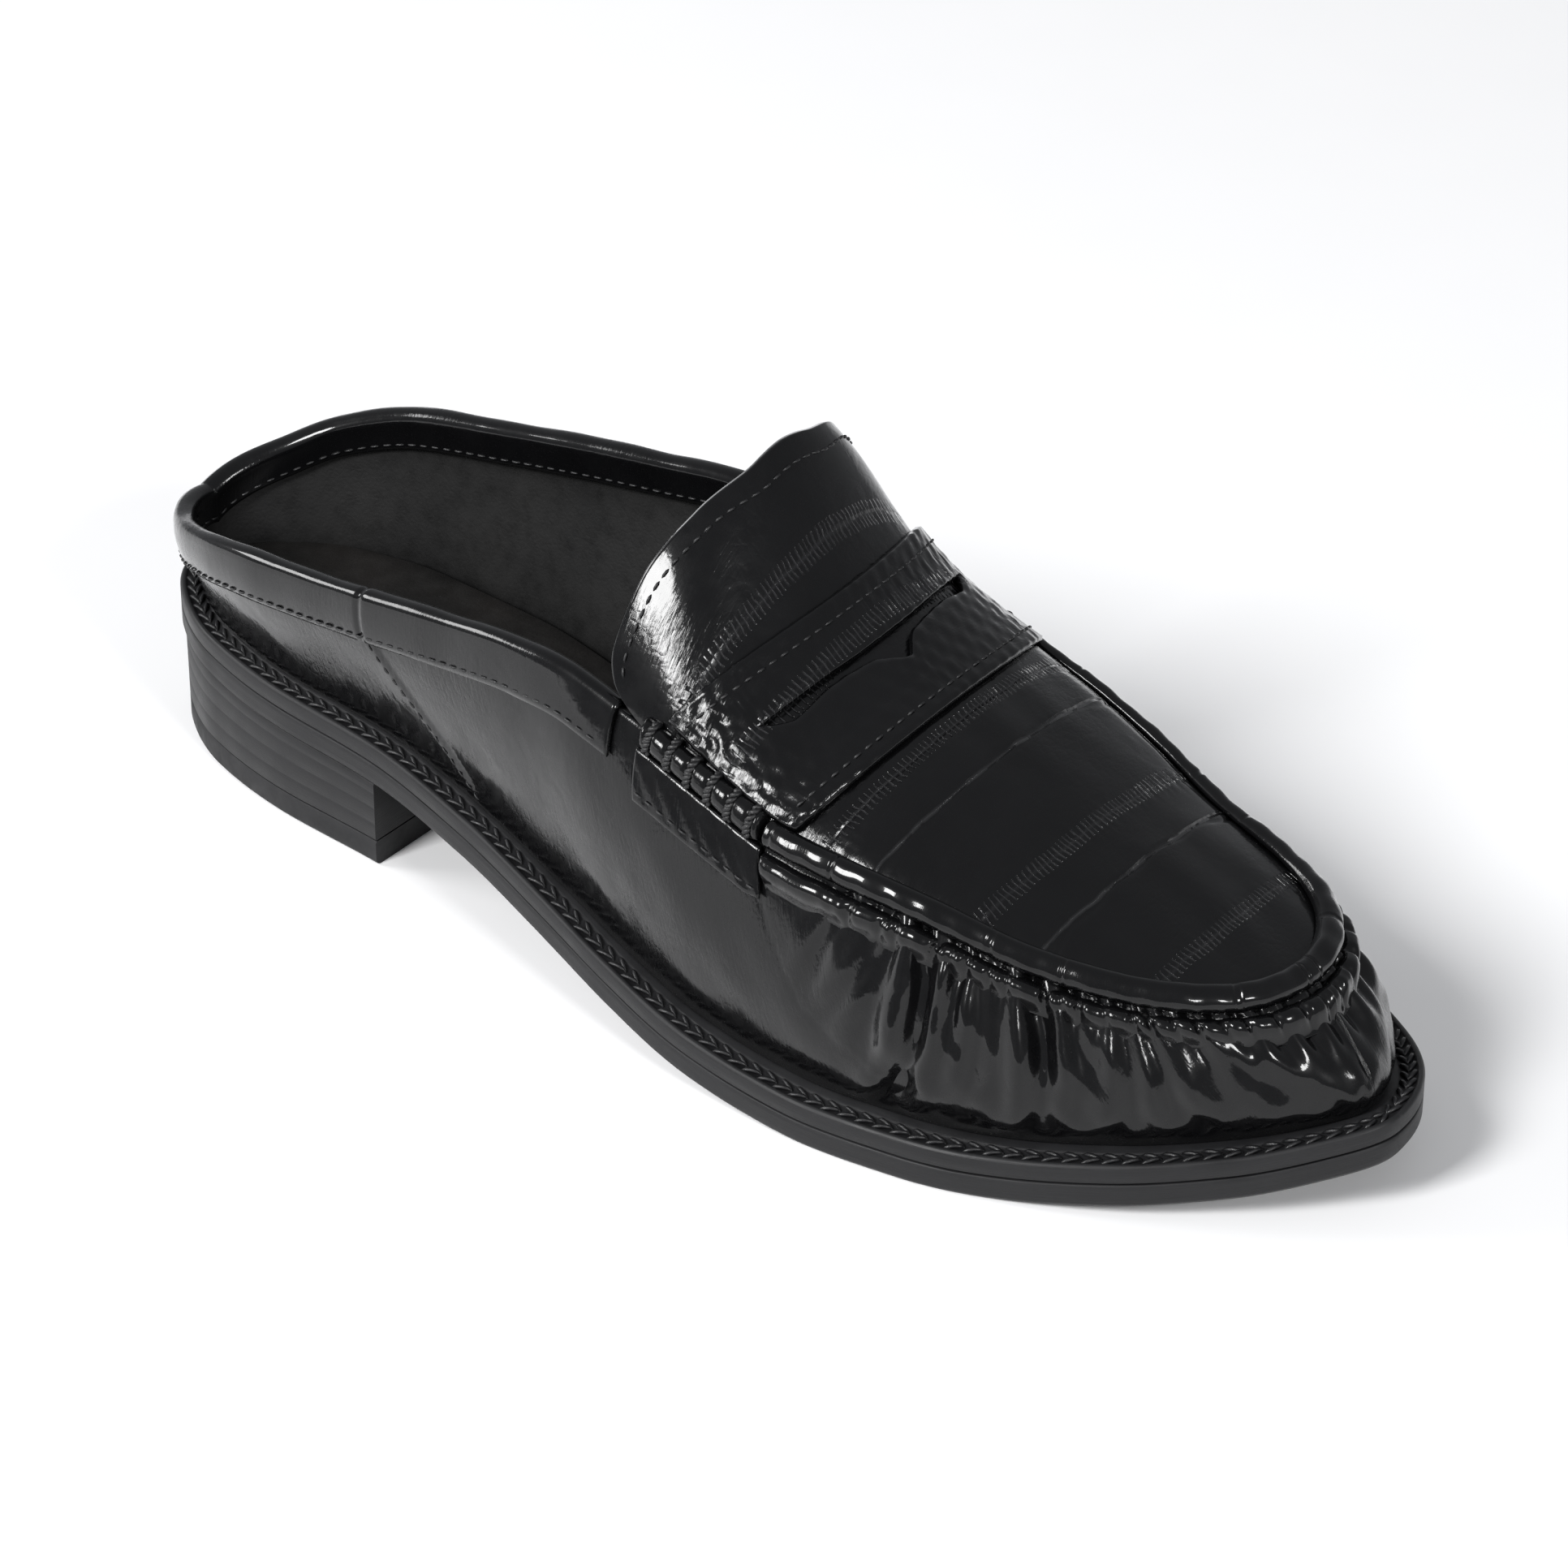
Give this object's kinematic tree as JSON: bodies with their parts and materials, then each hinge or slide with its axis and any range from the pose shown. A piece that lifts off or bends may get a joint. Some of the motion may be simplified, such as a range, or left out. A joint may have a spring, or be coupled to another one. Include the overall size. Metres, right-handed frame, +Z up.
{
  "type": "loafer mule",
  "caption": "Right backless loafer mule with hollow moccasin-seamed upper, saddle strap, standing tongue, low collar, welted sole and block heel",
  "frame": {"origin": "centre of the bounding box in plan, on the floor that the sole stands on", "axes": "+Z up, toe toward -Y, heel toward +Y, inner side of the right foot toward +X"},
  "size_m": [0.0921, 0.27, 0.0969],
  "materials": {
    "upper_leather": "high gloss patent, embossed",
    "trim_leather": "high gloss patent",
    "lining": "matte",
    "sole_edge": "satin",
    "sole_rubber": "matte"
  },
  "bodies": {
    "root": {"upper": "upper_leather", "apron_seam": "trim_leather", "beefroll_lateral": "trim_leather", "beefroll_medial": "trim_leather", "saddle_strap": "trim_leather", "side_tab_lateral": "trim_leather", "side_tab_medial": "trim_leather", "collar_binding": "trim_leather", "insole": "lining", "welt": "sole_edge", "outsole": "sole_rubber", "heel_block": "sole_edge", "heel_top_lift": "sole_rubber"}
  },
  "joints": []
}
